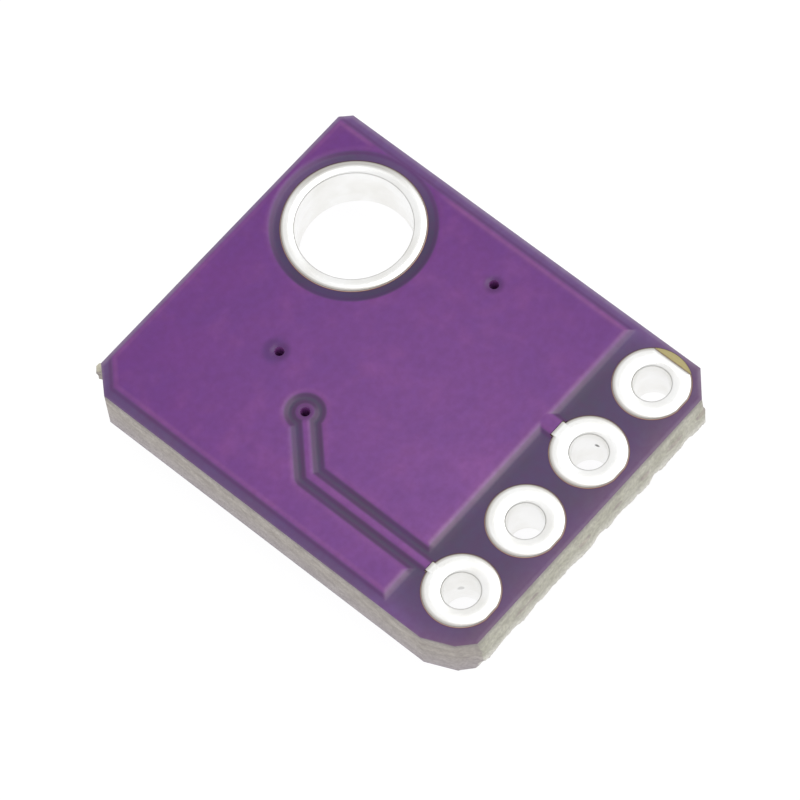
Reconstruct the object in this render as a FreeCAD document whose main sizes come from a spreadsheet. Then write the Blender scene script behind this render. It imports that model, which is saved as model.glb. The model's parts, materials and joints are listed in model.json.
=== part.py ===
# Temperature and humidity sensor module: a two-layer circuit board about 10 x 13 mm with four header
# holes, one plated mounting hole and its parts on the front. The board lies on those parts, back up.
# X runs along the header holes, Y from them to the mounting hole, Z up out of the back face.
import FreeCAD, Part
import math
import os
import re
import Sketcher
from FreeCAD import Placement, Rotation, Vector

# Driving sizes in millimetres, measured from the header edge and the data side of the board
SIZES = {
    "laminate_thickness": 1.50,
    "data_corner_rise": 1.25,
    "data_corner_middle_x": 0.37,
    "data_corner_middle_y": 0.40,
    "data_corner_run": 0.80,
    "supply_corner_rise": 0.60,
    "supply_corner_run": 0.67,
    "far_corner_drop": 0.71,
    "far_corner_run": 0.66,
    "hole_corner_cut": 0.28,
    "score_depth": 0.50,
    "score_reach": 0.09,
    "front_score_offset": 0.08,
    "tear_reach": 0.06,
    "torn_tab_reach": 0.14,
    "torn_tab_height": 0.75,
    "copper_thickness": 0.04,
    "mask_thickness": 0.02,
    "mask_flow": 0.04,
    "mask_gap": 0.03,
    "tin_thickness": 0.03,
    "plating_thickness": 0.035,
    "pin_pitch": 2.54,
    "first_pin_x": 1.655,
    "last_pin_margin": 1.145,
    "pin_row_y": 1.288,
    "pin_bore": 0.51,
    "pin_pad": 1.03,
    "pin_rim": 0.065,
    "pad_edge_round": 0.028,
    "pad_edge_setback": 0.28,
    "pad_side_setback": 0.32,
    "data_neck_width": 0.30,
    "ground_neck_width": 0.48,
    "neck_reach": 1.10,
    "hole_from_side": 2.515,
    "hole_from_end": 2.495,
    "hole_bore": 1.58,
    "hole_pad": 1.945,
    "hole_rim": 0.065,
    "pour_side_inset": 0.33,
    "pour_end_inset": 0.10,
    "pour_near_edge": 2.74,
    "pour_corner": 0.65,
    "back_gap": 0.305,
    "front_gap": 0.20,
    "track_width": 0.20,
    "supply_track_width": 0.30,
    "track_corner": 0.40,
    "via_bore": 0.135,
    "via_wall": 0.025,
    "via_pad": 0.25,
    "data_via_x": 2.963,
    "data_via_y": 7.758,
    "data_bend_y": 6.45,
    "sensor_via_x": 3.862,
    "sensor_via_from_end": 3.43,
    "regulator_via_x": 8.895,
    "regulator_via_y": 6.354,
    "solder_film": 0.04,
    "sensor_x": 2.10,
    "sensor_run_gap": 1.034,
    "sensor_side": 3.00,
    "sensor_end_margin": 0.33,
    "sensor_height": 1.10,
    "sensor_lead_pitch": 1.00,
    "sensor_lead_width": 0.40,
    "sensor_lead_length": 0.40,
    "sensor_lead_thickness": 0.20,
    "sensor_slug_width": 1.50,
    "sensor_slug_length": 2.40,
    "sensor_land_toe": 0.30,
    "sensor_land_length": 0.70,
    "port_mouth": 0.62,
    "port_throat": 0.42,
    "port_depth": 0.45,
    "element_side": 0.56,
    "element_thickness": 0.08,
    "regulator_x": 7.30,
    "regulator_y": 5.35,
    "regulator_length": 2.90,
    "regulator_width": 1.30,
    "regulator_height": 1.10,
    "regulator_standoff": 0.08,
    "regulator_draft": 5.0,
    "regulator_lead_pitch": 0.95,
    "regulator_lead_width": 0.42,
    "regulator_lead_thickness": 0.12,
    "regulator_lead_span": 2.40,
    "regulator_foot": 0.38,
    "regulator_shoulder": 0.12,
    "regulator_land_toe": 0.25,
    "regulator_land_length": 0.80,
    "regulator_land_width": 0.60,
    "chip_length": 1.60,
    "chip_width": 0.80,
    "capacitor_height": 0.80,
    "resistor_height": 0.45,
    "end_cap_length": 0.32,
    "end_cap_thickness": 0.02,
    "end_cap_round": 0.04,
    "glaze_thickness": 0.02,
    "chip_land_toe": 0.35,
    "chip_land_length": 0.80,
    "chip_land_width": 0.90,
    "joint_climb": 0.30,
    "joint_margin": 0.06,
    "joint_round": 0.45,
    "input_capacitor_x": 5.05,
    "input_capacitor_y": 3.85,
    "output_capacitor_x": 9.50,
    "output_side_margin": 0.92,
    "sensor_capacitor_x": 4.70,
    "clock_lane_x": 3.45,
    "clock_lane_jog": 0.15,
    "clock_turn_y": 2.70,
    "clock_jog_y": 8.40,
    "clock_pullup_y": 5.85,
    "pullup_row_y": 6.95,
    "sensor_supply_x": 5.50,
    "supply_run_y": 3.20,
    "data_run_y": 8.516,
}
PIN_NAMES = ["data", "clock", "ground", "supply"]
TEARS = 7
# The board reaches past its last header hole, its outermost part and the sensor at the far end, and each land
# reaches past the end of the lead or chip that is soldered to it
WORKED_OUT = {
    "board_width":
        "max(first_pin_x + 3 * pin_pitch + last_pin_margin; output_capacitor_x + output_side_margin)",
    "board_length": "data_run_y + sensor_run_gap + sensor_side + sensor_end_margin",
    "sensor_from_end": "sensor_side / 2 + sensor_end_margin",
    "sensor_land_reach": "sensor_side / 2 + sensor_land_toe - sensor_land_length / 2",
    "regulator_land_reach": "regulator_lead_span / 2 + regulator_land_toe - regulator_land_length / 2",
    "chip_land_reach": "chip_length / 2 + chip_land_toe - chip_land_length / 2",
}
# Faces closer than this touch
CONTACT = 1e-6

doc = FreeCAD.newDocument("HumidityModule")
sheet = doc.addObject("Spreadsheet::Sheet", "Sizes")
for row, (alias, size) in enumerate(SIZES.items(), start=1):
    sheet.set(f"A{row}", alias)
    sheet.set(f"B{row}", str(size))
    sheet.setAlias(f"B{row}", alias)
doc.recompute()

UP = Vector(0, 0, 1)
DOWN = Vector(0, 0, -1)
nodes = {}


def bound(text):
    """The expression with each size in it read from the sheet, and each worked-out size written out."""

    def read(word):
        if word[0] in WORKED_OUT:
            return f"({bound(WORKED_OUT[word[0]])})"
        return f"Sizes.{word[0]}" if word[0] in SIZES else word[0]

    return re.sub(r"[a-z_]+", read, text)


def amount(text):
    return float(sheet.evalExpression(bound(text)))


def tie(item, setting, text):
    item.setExpression(setting, bound(text))


def sum_of(*terms):
    return " + ".join(f"({term})" for term in terms)


def less(first, second):
    return f"({first}) - ({second})"


# Levels above the surface that the module rests on, and the places that pieces share
FRONT_FACE = "copper_thickness + solder_film + max(sensor_height; regulator_height)"
BACK_FACE = sum_of(FRONT_FACE, "laminate_thickness")
LAND_FACE = less(FRONT_FACE, "copper_thickness")
PAD_HEIGHT = "copper_thickness + tin_thickness"
COAT_HEIGHT = "copper_thickness + mask_thickness"

PINS = [(f"first_pin_x + {count} * pin_pitch", "pin_row_y") for count in range(len(PIN_NAMES))]
DATA_PIN, CLOCK_PIN, GROUND_PIN, SUPPLY_PIN = PINS
HOLE = ("board_width - hole_from_side", "board_length - hole_from_end")
DATA_VIA = ("data_via_x", "data_via_y")
SENSOR_VIA = ("sensor_via_x", "board_length - sensor_via_from_end")
REGULATOR_VIA = ("regulator_via_x", "regulator_via_y")
VIAS = [DATA_VIA, SENSOR_VIA, REGULATOR_VIA]

SENSOR = ("sensor_x", "board_length - sensor_from_end")
REGULATOR = ("regulator_x", "regulator_y")
INPUT_CAPACITOR = ("input_capacitor_x", "input_capacitor_y")
OUTPUT_CAPACITOR = ("output_capacitor_x", "regulator_y - regulator_lead_pitch + chip_land_reach")
SENSOR_CAPACITOR = ("sensor_capacitor_x", "board_length - sensor_from_end - chip_land_reach")
DATA_PULLUP = ("clock_lane_x", "pullup_row_y")
CLOCK_PULLUP = ("clock_lane_x + chip_land_reach", "clock_pullup_y")


def beside(place, x="0", y="0"):
    """A place moved by x and y."""
    return (sum_of(place[0], x), sum_of(place[1], y))


class Side:
    """One face of the laminate: its level, the way out of it and where it stops at the header edge."""

    def __init__(self, level, way, edge):
        self.level = level
        self.way = way
        self.edge = edge


BACK = Side(BACK_FACE, UP, "0")
FRONT = Side(FRONT_FACE, DOWN, "front_score_offset")


def fix_point(sketch, edge, end, place):
    """Tie one end of an edge to a place by its two coordinates."""
    for kind, text in zip(("DistanceX", "DistanceY"), place):
        index = sketch.addConstraint(Sketcher.Constraint(kind, -1, 1, edge, end, amount(text)))
        tie(sketch, f"Constraints[{index}]", text)


def point(place):
    return Vector(amount(place[0]), amount(place[1]), 0)


def draw_path(sketch, places, closed=False):
    """Straight lines through the places."""
    ends = places[1:] + places[:1] if closed else places[1:]
    first = sketch.GeometryCount
    for start, end in zip(places, ends):
        sketch.addGeometry(Part.LineSegment(point(start), point(end)))
    last = sketch.GeometryCount - 1
    for edge in range(first, last):
        sketch.addConstraint(Sketcher.Constraint("Coincident", edge, 2, edge + 1, 1))
    if closed:
        sketch.addConstraint(Sketcher.Constraint("Coincident", last, 2, first, 1))
    for edge, place in enumerate(places[:last - first + 1], start=first):
        fix_point(sketch, edge, 1, place)
    if not closed:
        fix_point(sketch, last, 2, places[-1])


def draw_circle(sketch, place, radius):
    edge = sketch.addGeometry(Part.Circle(point(place), UP, amount(radius)))
    fix_point(sketch, edge, 3, place)
    index = sketch.addConstraint(Sketcher.Constraint("Radius", edge, amount(radius)))
    tie(sketch, f"Constraints[{index}]", radius)


def corners(place, half_x, half_y):
    """The four corners of a rectangle about a place."""
    signs = [(-1, -1), (1, -1), (1, 1), (-1, 1)]
    return [beside(place, f"{x} * ({half_x})", f"{y} * ({half_y})") for x, y in signs]


# Layers that lie flat on one face of the laminate: each is drawn there and extruded outwards


def face_sketch(label, side):
    sketch = doc.addObject("Sketcher::SketchObject", f"{label}_sketch")
    tie(sketch, "Placement.Base.x", "-board_width / 2")
    tie(sketch, "Placement.Base.y", "-board_length / 2")
    tie(sketch, "Placement.Base.z", side.level)
    return sketch


def prism(label, base, side, height):
    solid = doc.addObject("Part::Extrusion", label)
    solid.Base = base
    solid.DirMode = "Custom"
    solid.Dir = side.way
    solid.Solid = True
    tie(solid, "LengthFwd", height)
    return solid


def outline_prism(label, side, height, places):
    sketch = face_sketch(label, side)
    draw_path(sketch, places, closed=True)
    return prism(label, sketch, side, height)


def land_prism(label, side, height, land, grow):
    place, half_x, half_y = land
    return outline_prism(label, side, height, corners(place, sum_of(half_x, grow), sum_of(half_y, grow)))


def disc_prism(label, side, height, disc, grow):
    place, radius = disc
    sketch = face_sketch(label, side)
    draw_circle(sketch, place, sum_of(radius, grow))
    return prism(label, sketch, side, height)


def track_prism(label, side, height, track, grow):
    """A band of one width with round ends along a track's middle line."""
    width, places = track
    sketch = face_sketch(label, side)
    draw_path(sketch, places)
    band = doc.addObject("Part::Offset2D", f"{label}_band")
    band.Source = sketch
    band.Mode = "Pipe"
    band.Join = "Arc"
    tie(band, "Value", sum_of(f"{width} / 2", grow))
    return prism(label, band, side, height)


def joined(label, solids):
    if len(solids) == 1:
        return solids[0]
    whole = doc.addObject("Part::MultiFuse", label)
    whole.Shapes = solids
    whole.Refine = True
    return whole


def cut(label, base, *tools):
    """The base less each of the tools."""
    piece = doc.addObject("Part::Cut", label)
    piece.Base = base
    piece.Tool = joined(f"{label}_tools", list(tools))
    piece.Refine = True
    return piece


def region(label, side, height, tracks=(), lands=(), discs=(), grow="0"):
    """Prisms over tracks, lands and discs, all grown by one margin."""
    solids = []
    for makers, shapes in ((track_prism, tracks), (land_prism, lands), (disc_prism, discs)):
        for number, shape in enumerate(shapes):
            solids.append(makers(f"{label}_{makers.__name__}_{number}", side, height, shape, grow))
    return joined(label, solids)


# Places of the lands, tracks and nets on the front


def chip_lands(place, upright):
    """The two lands of a chip part, the one nearer the header or the data side first."""
    along, across = "chip_land_length / 2", "chip_land_width / 2"
    if upright:
        return [(beside(place, y=f"{sign} * chip_land_reach"), across, along) for sign in (-1, 1)]
    return [(beside(place, x=f"{sign} * chip_land_reach"), along, across) for sign in (-1, 1)]


def sensor_land(side, row):
    place = beside(SENSOR, f"{side} * sensor_land_reach", f"{row} * sensor_lead_pitch")
    return (place, "sensor_land_length / 2", "sensor_lead_width / 2")


def regulator_land(side, row):
    place = beside(REGULATOR, f"{side} * regulator_land_reach", f"{row} * regulator_lead_pitch")
    return (place, "regulator_land_length / 2", "regulator_land_width / 2")


DATA_LAND = sensor_land(-1, -1)
SENSOR_GROUND_LAND = sensor_land(-1, 0)
SPARE_LANDS = [sensor_land(-1, 1), sensor_land(1, 1)]
SENSOR_SUPPLY_LAND = sensor_land(1, 0)
CLOCK_LAND = sensor_land(1, -1)
SLUG_LAND = (SENSOR, "sensor_slug_width / 2", "sensor_slug_length / 2")
INPUT_LAND = regulator_land(-1, 0)
OUTPUT_LAND = regulator_land(1, -1)
REGULATOR_GROUND_LAND = regulator_land(1, 1)
INPUT_GROUND_LAND, INPUT_SUPPLY_LAND = chip_lands(INPUT_CAPACITOR, True)
OUTPUT_SUPPLY_LAND, OUTPUT_GROUND_LAND = chip_lands(OUTPUT_CAPACITOR, True)
SENSOR_CAP_GROUND_LAND, SENSOR_CAP_SUPPLY_LAND = chip_lands(SENSOR_CAPACITOR, True)
DATA_PULLUP_LAND, DATA_PULLUP_SUPPLY_LAND = chip_lands(DATA_PULLUP, False)
CLOCK_PULLUP_LAND, CLOCK_PULLUP_SUPPLY_LAND = chip_lands(CLOCK_PULLUP, False)

supply_x, input_x = SUPPLY_PIN[0], INPUT_LAND[0][0]
output_x, output_y = OUTPUT_LAND[0]
clock_slant = less(CLOCK_PIN[0], "clock_lane_x")
data_slant = less("data_run_y", "data_via_y")
sensor_data_x, sensor_data_y = DATA_LAND[0]

FRONT_NETS = {
    "front_supply_track": {
        "tracks": [
            ("supply_track_width", [
                SUPPLY_PIN,
                (supply_x, "supply_run_y - track_corner"),
                (less(supply_x, "track_corner"), "supply_run_y"),
                (input_x, "supply_run_y"),
                INPUT_LAND[0],
            ]),
            ("supply_track_width", [INPUT_SUPPLY_LAND[0], (input_x, INPUT_SUPPLY_LAND[0][1]), INPUT_LAND[0]]),
        ],
        "lands": [INPUT_LAND, INPUT_SUPPLY_LAND],
    },
    "front_regulated_track": {
        "tracks": [
            ("track_width", [
                OUTPUT_SUPPLY_LAND[0],
                ("regulator_x + track_corner", output_y),
                ("regulator_x", sum_of(output_y, "track_corner")),
                ("regulator_x", "pullup_row_y - track_corner"),
                ("regulator_x - track_corner", "pullup_row_y"),
                DATA_PULLUP_SUPPLY_LAND[0],
            ]),
            ("track_width", [
                CLOCK_PULLUP_SUPPLY_LAND[0],
                (CLOCK_PULLUP_SUPPLY_LAND[0][0], "pullup_row_y"),
                ("sensor_supply_x", "pullup_row_y"),
                ("sensor_supply_x", less(SENSOR[1], "track_corner")),
                ("sensor_supply_x - track_corner", SENSOR[1]),
                SENSOR_SUPPLY_LAND[0],
            ]),
        ],
        "lands": [
            OUTPUT_LAND, OUTPUT_SUPPLY_LAND, DATA_PULLUP_SUPPLY_LAND, CLOCK_PULLUP_SUPPLY_LAND,
            SENSOR_CAP_SUPPLY_LAND, SENSOR_SUPPLY_LAND,
        ],
    },
    "front_clock_track": {
        "tracks": [
            ("track_width", [
                CLOCK_PIN,
                (CLOCK_PIN[0], "clock_turn_y"),
                ("clock_lane_x", sum_of("clock_turn_y", clock_slant)),
                ("clock_lane_x", "clock_jog_y"),
                ("clock_lane_x - clock_lane_jog", "clock_jog_y + clock_lane_jog"),
                ("clock_lane_x - clock_lane_jog", CLOCK_LAND[0][1]),
            ]),
        ],
        "lands": [CLOCK_PULLUP_LAND, CLOCK_LAND],
    },
    "front_data_track": {
        "tracks": [
            ("track_width", [
                DATA_PULLUP_LAND[0],
                DATA_VIA,
                (less("data_via_x", data_slant), "data_run_y"),
                (sum_of(sensor_data_x, "track_corner"), "data_run_y"),
                (sensor_data_x, "data_run_y + track_corner"),
                DATA_LAND[0],
            ]),
        ],
        "lands": [DATA_PULLUP_LAND, DATA_LAND],
        "discs": [(DATA_VIA, "via_pad")],
    },
    "sensor_spare_lands": {"lands": SPARE_LANDS},
}
GROUND_LANDS = [
    SENSOR_GROUND_LAND, SLUG_LAND, REGULATOR_GROUND_LAND, INPUT_GROUND_LAND, OUTPUT_GROUND_LAND,
    SENSOR_CAP_GROUND_LAND,
]
BACK_NETS = {
    "back_data_track": {
        "tracks": [
            ("track_width", [
                DATA_PIN,
                (DATA_PIN[0], "data_bend_y"),
                (sum_of(DATA_PIN[0], less("data_via_y", "data_bend_y")), "data_via_y"),
            ]),
        ],
        "discs": [(DATA_VIA, "via_pad")],
    },
}

PIN_PADS = [(pin, "pin_pad") for pin in PINS]
HOLE_PAD = (HOLE, "hole_pad")
VIA_HOLES = [(via, "via_bore + via_wall") for via in VIAS]


def board_outline(edge):
    """The board's outline from the header edge on, counter-clockwise from the back."""
    return [
        ("data_corner_run", edge),
        ("board_width - supply_corner_run", edge),
        ("board_width", "supply_corner_rise"),
        ("board_width", "board_length - hole_corner_cut"),
        ("board_width - hole_corner_cut", "board_length"),
        ("far_corner_run", "board_length"),
        ("0", "board_length - far_corner_drop"),
        ("0", "data_corner_rise"),
        ("data_corner_middle_x", "data_corner_middle_y"),
    ]


def pour_sides(grow):
    """The far end of a ground pour, from its supply side to its data side."""
    side = less("pour_side_inset", grow)
    end = less("board_length - pour_end_inset", f"-({grow})")
    return [
        (less("board_width", side), end),
        (sum_of(side, "pour_corner"), end),
        (side, less(end, "pour_corner")),
    ]


def back_pour_outline(grow):
    side = less("pour_side_inset", grow)
    near = less("pour_near_edge", grow)
    neck = sum_of("ground_neck_width / 2", grow)
    neck_end = "pin_row_y + pin_pad - pin_rim"
    neck_left, neck_right = less(GROUND_PIN[0], neck), sum_of(GROUND_PIN[0], neck)
    return [
        (side, near), (neck_left, near), (neck_left, neck_end), (neck_right, neck_end), (neck_right, near),
        (less("board_width", side), near), *pour_sides(grow),
    ]


def front_pour_outline(grow):
    """The front pour also runs round the header holes, inside the cut corners."""
    side = less("pour_side_inset", grow)
    return [
        (sum_of("data_corner_run", side), side),
        (less("board_width - supply_corner_run", side), side),
        (less("board_width", side), sum_of("supply_corner_rise", side)),
        *pour_sides(grow),
        (side, sum_of("data_corner_rise", side)),
    ]


def pour(label, side, height, outline, nets, gap, grow):
    """A ground pour, or with a margin the coat over it: its outline less the gap round every other net."""
    blank = outline_prism(f"{label}_blank", side, height, outline(grow))
    margin = less(gap, grow)
    kept_clear = [
        region(f"{label}_round_{name}", side, height, grow=margin, **shapes) for name, shapes in nets.items()
    ]
    other_pads = [HOLE_PAD] + [pad for pad in PIN_PADS if pad[0] != GROUND_PIN]
    kept_clear.append(region(f"{label}_round_pads", side, height, discs=other_pads, grow=margin))
    return cut(f"{label}_all", blank, *kept_clear)


def touching(label, whole, carriers):
    """Only those areas of a layer that touch one of the carriers."""
    doc.recompute()
    areas = [
        area for area in whole.Shape.Solids
        if any(area.distToShape(carrier.Shape)[0] < CONTACT for carrier in carriers)
    ]
    piece = doc.addObject("Part::Feature", label)
    piece.Shape = Part.makeCompound(areas) if len(areas) > 1 else areas[0]
    return piece


# Board


def board_body(label, level):
    """A body whose own origin is the board's corner at one level."""
    body = doc.addObject("PartDesign::Body", label)
    tie(body, "Placement.Base.x", "-board_width / 2")
    tie(body, "Placement.Base.y", "-board_length / 2")
    tie(body, "Placement.Base.z", level)
    nodes[label] = body
    return body


def body_sketch(body, level="0", role="XY_Plane"):
    sketch = body.newObject("Sketcher::SketchObject", f"{body.Label}_sketch")
    plane = next(feature for feature in body.Origin.OriginFeatures if feature.Role == role)
    sketch.AttachmentSupport = (plane, "")
    sketch.MapMode = "FlatFace"
    tie(sketch, "AttachmentOffset.Base.z", level)
    return sketch


def pad(body, sketch, length, both_ways=False):
    feature = body.newObject("PartDesign::Pad", f"{body.Label}_pad")
    feature.Profile = sketch
    feature.Midplane = both_ways
    tie(feature, "Length", length)
    return feature


def pocket(body, sketch, length):
    """Cut downwards from the sketch."""
    feature = body.newObject("PartDesign::Pocket", f"{body.Label}_pocket")
    feature.Profile = sketch
    tie(feature, "Length", length)
    return feature


def make_laminate():
    """The board, snapped off at both ends. At the header edge the front's score lay further in."""
    body = board_body("substrate", FRONT_FACE)
    sketch = body_sketch(body)
    draw_path(sketch, board_outline(BACK.edge), closed=True)
    pad(body, sketch, "laminate_thickness")
    add_snapped_edge(body, "data_corner_run", "board_width - supply_corner_run", "0", -1)
    add_snapped_edge(body, "far_corner_run", "board_width - hole_corner_cut", "board_length", 1)
    sketch = body_sketch(body, "board_width", "YZ_Plane")
    draw_path(sketch, [
        ("-score_reach", "0"), (FRONT.edge, "0"), ("-score_reach", "score_depth"),
    ], closed=True)
    pocket(body, sketch, "board_width")
    sketch = body_sketch(body, "score_depth")
    tab_start = less("far_corner_run", "torn_tab_reach")
    draw_path(sketch, [
        (tab_start, "board_length - far_corner_drop"),
        (sum_of("far_corner_run", "torn_tab_reach"), "board_length - far_corner_drop"),
        (sum_of("far_corner_run", "torn_tab_reach"), "board_length"),
        ("far_corner_run", "board_length + score_reach + tear_reach"),
        (tab_start, "board_length + score_reach"),
    ], closed=True)
    pad(body, sketch, "torn_tab_height")
    sketch = body_sketch(body, "laminate_thickness")
    draw_circle(sketch, HOLE, "hole_bore + plating_thickness")
    for pin in PINS:
        draw_circle(sketch, pin, "pin_bore + plating_thickness")
    for via, radius in VIA_HOLES:
        draw_circle(sketch, via, radius)
    pocket(body, sketch, "laminate_thickness")


def add_snapped_edge(body, start, end, edge, outwards):
    """Two scored slopes with the torn web between them, whose ragged line goes in and out."""
    run = less(end, start)
    crest = f"({edge}) + {outwards} * score_reach"
    slopes = body_sketch(body, start, "YZ_Plane")
    draw_path(slopes, [
        (edge, "0"), (crest, "score_depth"),
        (crest, "laminate_thickness - score_depth"), (edge, "laminate_thickness"),
    ], closed=True)
    pad(body, slopes, run)
    web = body_sketch(body, "score_depth")
    torn = [
        (f"({start}) + ({run}) * {half} / {2 * TEARS}", f"({crest}) + {outwards * (half % 2)} * tear_reach")
        for half in range(2 * TEARS + 1)
    ]
    draw_path(web, [(start, edge), *torn, (end, edge)], closed=True)
    pad(body, web, "laminate_thickness - 2 * score_depth")


def rim_edges(feature, radius, levels):
    """The names of the circles of one radius at the given levels."""
    names = []
    for number, edge in enumerate(feature.Shape.Edges, start=1):
        circle = isinstance(edge.Curve, Part.Circle) and abs(edge.Curve.Radius - radius) < CONTACT
        if circle and any(abs(edge.Curve.Center.z - level) < CONTACT for level in levels):
            names.append(f"Edge{number}")
    return names


def make_lining(label, place, bore, pad_radius, rim):
    """Plated barrel of a hole with a tinned pad at each end, from a profile turned about the hole."""
    body = board_body(label, FRONT_FACE)
    tie(body, "Placement.Base.x", less(place[0], "board_width / 2"))
    tie(body, "Placement.Base.y", less(place[1], "board_length / 2"))
    wall = sum_of(bore, "plating_thickness")
    top = sum_of("laminate_thickness", PAD_HEIGHT)
    sketch = body_sketch(body, role="XZ_Plane")
    draw_path(sketch, [
        (bore, f"-({PAD_HEIGHT})"), (pad_radius, f"-({PAD_HEIGHT})"), (pad_radius, "0"), (wall, "0"),
        (wall, "laminate_thickness"), (pad_radius, "laminate_thickness"), (pad_radius, top), (bore, top),
    ], closed=True)
    turned = body.newObject("PartDesign::Revolution", f"{label}_turned")
    turned.Profile = sketch
    turned.ReferenceAxis = (sketch, ["V_Axis"])
    turned.Angle = 360
    doc.recompute()
    levels = (-amount(PAD_HEIGHT), amount(top))
    for radius, rounding in ((bore, rim), (pad_radius, "pad_edge_round")):
        base = body.Tip
        fillet = body.newObject("PartDesign::Fillet", f"{label}_fillet")
        fillet.Base = (base, rim_edges(base, amount(radius), levels))
        tie(fillet, "Radius", rounding)
        doc.recompute()
    return body


def trim_pad(body, places):
    """Cut straight across both pads of a lining."""
    sketch = body_sketch(body, sum_of("laminate_thickness", PAD_HEIGHT))
    draw_path(sketch, places, closed=True)
    pocket(body, sketch, sum_of("laminate_thickness", f"2 * ({PAD_HEIGHT})"))


def make_pin_linings():
    """The four header holes. Their pads are cut where copper stops short of the board's edges."""
    for name, place in zip(PIN_NAMES, PINS):
        body = make_lining(f"plated_{name}_hole", place, "pin_bore", "pin_pad", "pin_rim")
        near = less("pad_edge_setback", "pin_row_y")
        trim_pad(body, [
            ("-pin_pad", "-2 * pin_pad"), ("pin_pad", "-2 * pin_pad"), ("pin_pad", near), ("-pin_pad", near),
        ])
        if name == "supply":
            side = less("board_width - pad_side_setback", place[0])
            trim_pad(body, [
                (side, "-pin_pad"), ("2 * pin_pad", "-pin_pad"),
                ("2 * pin_pad", "pin_pad"), (side, "pin_pad"),
            ])
        if name in ("data", "ground"):
            half = f"{name}_neck_width / 2"
            sketch = body_sketch(body, "laminate_thickness")
            start = "pin_pad - pin_rim"
            draw_path(sketch, [
                (f"-{half}", start), (half, start), (half, "neck_reach"), (f"-{half}", "neck_reach"),
            ], closed=True)
            pad(body, sketch, PAD_HEIGHT)


def make_plated_vias():
    body = board_body("plated_vias", LAND_FACE)
    sketch = body_sketch(body)
    for via, radius in VIA_HOLES:
        draw_circle(sketch, via, radius)
        draw_circle(sketch, via, "via_bore")
    pad(body, sketch, "laminate_thickness + 2 * copper_thickness")


def make_copper_and_mask(face, side, nets, pour_outline, gap, necks, lands):
    """The copper of one face and the solder mask that follows it, open over the lands and pads."""
    pads = PIN_PADS + [HOLE_PAD]
    drilled = region(f"{face}_drilled", side, COAT_HEIGHT, lands=necks, discs=pads + VIA_HOLES)
    copper = []
    coats = []
    for name, shapes in nets.items():
        whole = region(f"{name}_whole", side, "copper_thickness", **shapes)
        nodes[name] = cut(name, whole, drilled)
        copper.append(nodes[name])
        coats.append(region(f"{name}_coat", side, COAT_HEIGHT, grow="mask_flow", **shapes))
    name = f"{face}_ground_pour"
    whole = pour(name, side, "copper_thickness", pour_outline, nets, gap, "0")
    earth = [nodes["plated_vias"], nodes["plated_ground_hole"]]
    nodes[name] = touching(name, cut(f"{name}_drilled", whole, drilled), earth)
    copper.append(nodes[name])
    coat = pour(f"{name}_coat", side, COAT_HEIGHT, pour_outline, nets, gap, "mask_flow")
    coats.append(touching(f"{name}_kept_coat", coat, [nodes[name]]))
    coats.append(outline_prism(f"{face}_base_coat", side, "mask_thickness", board_outline(side.edge)))
    openings = region(f"{face}_openings", side, COAT_HEIGHT, lands=necks + lands, discs=pads, grow="mask_gap")
    via_mouths = region(f"{face}_via_mouths", side, COAT_HEIGHT, discs=[(via, "via_bore") for via in VIAS])
    name = f"{face}_solder_mask"
    whole = joined(f"{name}_coats", coats)
    nodes[name] = cut(name, whole, *copper, openings, via_mouths, nodes["plated_vias"])


# Parts on the front: each body's own origin is its seat on the lands, and its Z points away from the board


def part_body(label, place, turn=0):
    body = doc.addObject("PartDesign::Body", label)
    facing_out = Rotation(Vector(1, 0, 0), 180)
    body.Placement = Placement(Vector(), Rotation(UP, turn) * facing_out)
    tie(body, "Placement.Base.x", less(place[0], "board_width / 2"))
    tie(body, "Placement.Base.y", less(place[1], "board_length / 2"))
    tie(body, "Placement.Base.z", LAND_FACE)
    return body


def add_block(body, level, height, *rectangles):
    """Blocks of one height over rectangles, each a middle and two half sizes."""
    sketch = body_sketch(body, level)
    for place, half_x, half_y in rectangles:
        draw_path(sketch, corners(place, half_x, half_y), closed=True)
    return pad(body, sketch, height)


def add_joint(body, end, inner, face, toe, top, width, row="0"):
    """Solder under one terminal and, in a hollow curve, up its outer face. The end is 1 or -1 along X."""
    sketch = body_sketch(body, f"-({row})", "XZ_Plane")
    places = [(f"{end} * ({x})", z) for x, z in (
        (toe, "0"), (inner, "0"), (inner, "solder_film"), (face, "solder_film"), (face, top),
    )]
    draw_path(sketch, places)
    start, finish = point(places[-1]), point(places[0])
    chord = finish - start
    out = Vector(-chord.y, chord.x, 0).normalize() * end
    hollow = amount("joint_round")
    centre = (start + finish) * 0.5 + out * (hollow ** 2 - chord.Length ** 2 / 4) ** 0.5
    turns = [math.atan2(spot.y - centre.y, spot.x - centre.x) for spot in (start, finish)][::end]
    arc = sketch.addGeometry(Part.ArcOfCircle(Part.Circle(centre, UP, hollow), *turns))
    upper, lower = (1, 2)[::end]
    sketch.addConstraint(Sketcher.Constraint("Coincident", arc, upper, arc - 1, 2))
    sketch.addConstraint(Sketcher.Constraint("Coincident", arc, lower, 0, 1))
    index = sketch.addConstraint(Sketcher.Constraint("Radius", arc, hollow))
    tie(sketch, f"Constraints[{index}]", "joint_round")
    pad(body, sketch, width, both_ways=True)


def round_edges(body, radius, chosen):
    """Round the edges whose middle points pass a test."""
    doc.recompute()
    base = body.Tip
    names = [f"Edge{number}" for number, edge in enumerate(base.Shape.Edges, start=1)
             if chosen(edge.CenterOfMass)]
    fillet = body.newObject("PartDesign::Fillet", f"{body.Label}_fillet")
    fillet.Base = (base, names)
    tie(fillet, "Radius", radius)


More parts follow.
